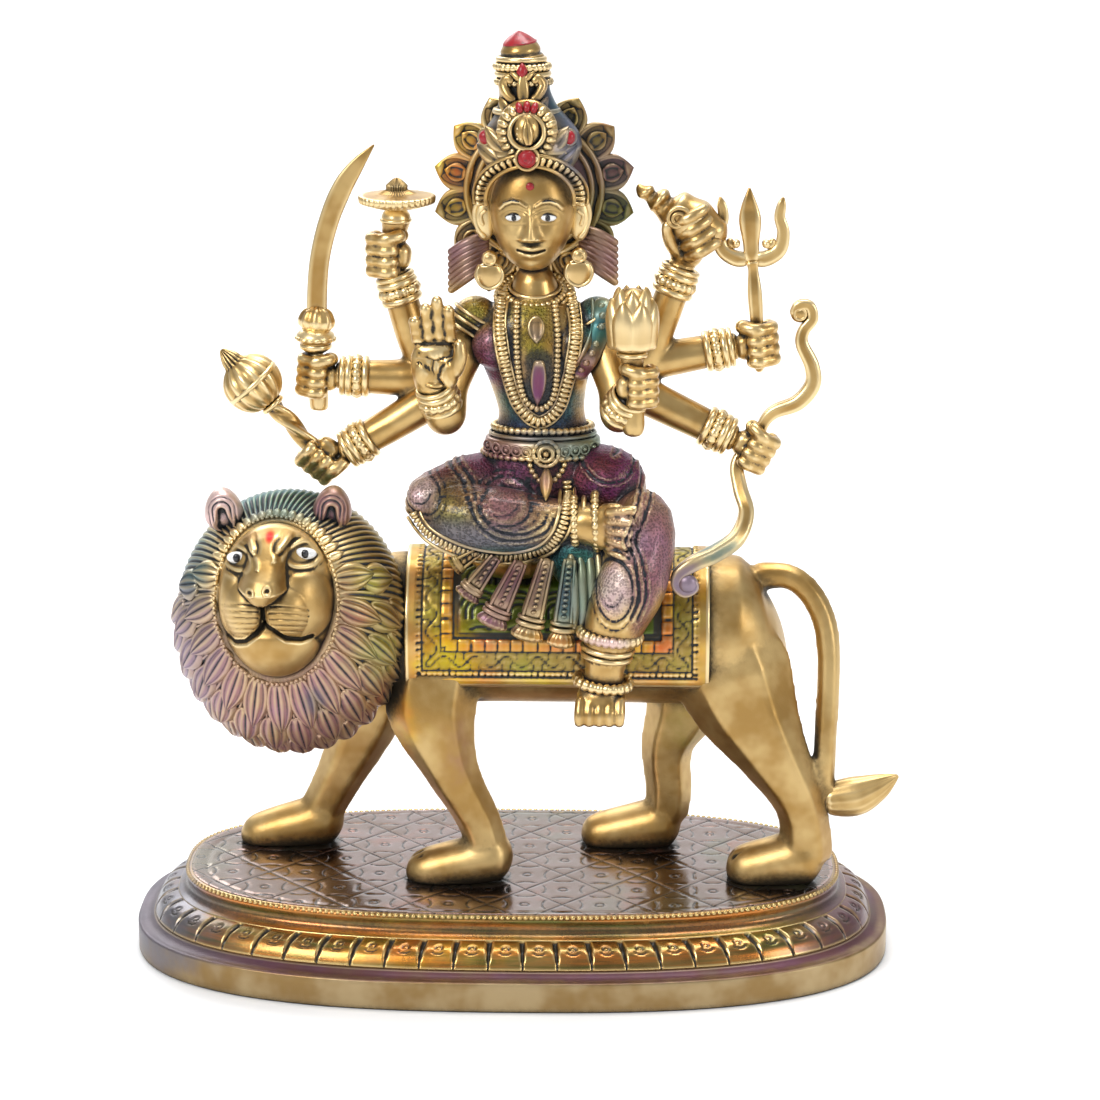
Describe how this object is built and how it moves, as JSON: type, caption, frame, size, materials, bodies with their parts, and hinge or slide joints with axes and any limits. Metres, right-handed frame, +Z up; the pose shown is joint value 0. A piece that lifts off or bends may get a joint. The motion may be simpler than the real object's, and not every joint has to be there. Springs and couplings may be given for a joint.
{
  "type": "durga figure",
  "caption": "Cast brass figure of the many-armed goddess Durga riding side-saddle on a standing lion with a saddle cloth, on a stepped oval plinth.",
  "frame": {"origin": "middle of the plinth's underside, on the surface that the statue stands on", "axes": "+Z up, the lion's head towards -X, the side that faces the viewer towards -Y"},
  "size_m": [0.186, 0.098, 0.223],
  "materials": {
    "dark_brass": "satin brass with dark lacquer in its relief",
    "brass": "satin",
    "tinted_brass": "satin, with thin coloured lacquer on the dress"
  },
  "bodies": {
    "root": {"plinth": "dark_brass", "lion": "brass", "durga": "tinted_brass"}
  },
  "joints": []
}
